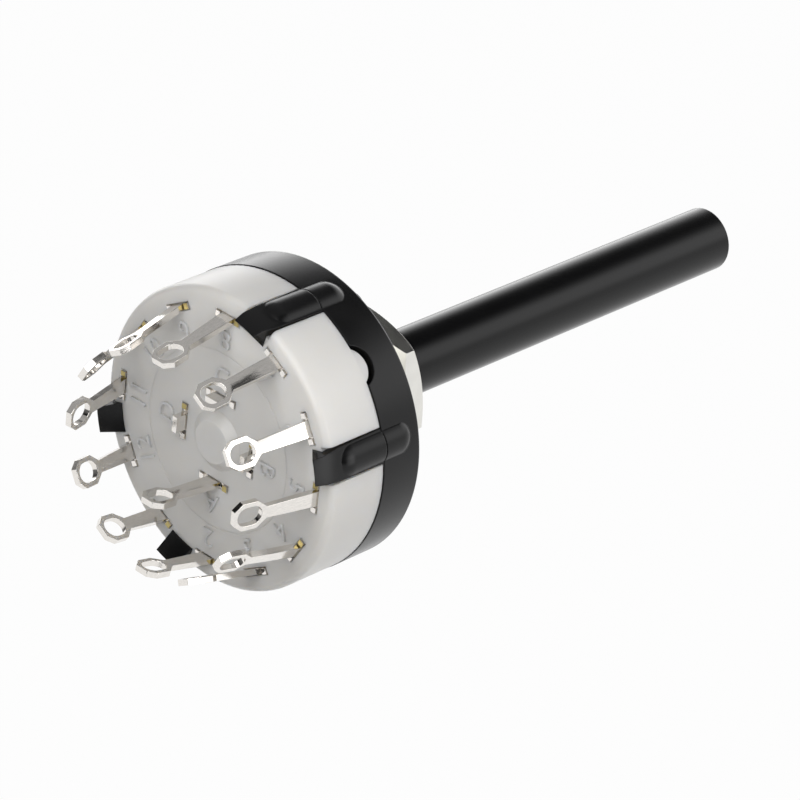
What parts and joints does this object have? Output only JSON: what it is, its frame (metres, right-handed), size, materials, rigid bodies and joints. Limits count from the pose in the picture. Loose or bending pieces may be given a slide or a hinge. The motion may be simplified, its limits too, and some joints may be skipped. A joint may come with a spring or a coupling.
{
  "type": "rotary switch",
  "caption": "Round panel-mounting rotary selector switch with a long plain spindle, threaded bush, hex nut, clipped two-part body and a ring of solder tags.",
  "frame": {"origin": "centre of the front mounting face, at the root of the bush", "axes": "-Y along the spindle to its free end, +Z through terminal 8, +X through terminal 11"},
  "size_m": [0.0272, 0.0712, 0.0272],
  "materials": {
    "black_plastic": "satin",
    "white_plastic": "satin, slightly translucent",
    "black_shaft": "satin gloss",
    "plated_brass": "bright tin plate",
    "contact_metal": "silver plate",
    "steel": "bright",
    "nickel": "nickel plate"
  },
  "bodies": {
    "body": {"housing": "black_plastic", "base": "white_plastic", "terminal_1": "plated_brass", "terminal_2": "plated_brass", "terminal_3": "plated_brass", "terminal_4": "plated_brass", "terminal_5": "plated_brass", "terminal_6": "plated_brass", "terminal_7": "plated_brass", "terminal_8": "plated_brass", "terminal_9": "plated_brass", "terminal_10": "plated_brass", "terminal_11": "plated_brass", "terminal_12": "plated_brass", "common_ring": "plated_brass", "stop_ring": "nickel"},
    "rotor": {"spindle": "black_shaft", "detent_spring_1": "steel", "detent_spring_2": "steel", "contact_spring": "steel"},
    "ball_1": {"detent_ball_1": "steel"},
    "ball_2": {"detent_ball_2": "steel"},
    "blade": {"contact_blade": "contact_metal"},
    "nut": {"hex_nut": "nickel"}
  },
  "joints": [
    {"name": "spindle_turn", "type": "hinge", "parent": "body", "child": "rotor", "pos_m": [0, 0, 0], "axis": [0, 1, 0], "range_deg": [0, 330]},
    {"name": "ball_1_slide", "type": "slide", "parent": "rotor", "child": "ball_1", "axis": [1, 0, 0], "range_m": [0, 0.00083], "stiffness_N_per_m": 500, "springref_m": 0.002, "deforming": ["detent_spring_1"]},
    {"name": "ball_2_slide", "type": "slide", "parent": "rotor", "child": "ball_2", "axis": [-1, 0, 0], "range_m": [0, 0.00083], "stiffness_N_per_m": 500, "springref_m": 0.002, "deforming": ["detent_spring_2"]},
    {"name": "contact_lift", "type": "slide", "parent": "rotor", "child": "blade", "axis": [0, -1, 0], "range_m": [0, 0.0003], "stiffness_N_per_m": 300, "springref_m": -0.001, "deforming": ["contact_spring"]},
    {"name": "nut_travel", "type": "slide", "parent": "body", "child": "nut", "axis": [0, -1, 0], "range_m": [-0.00605, 0.049]}
  ]
}
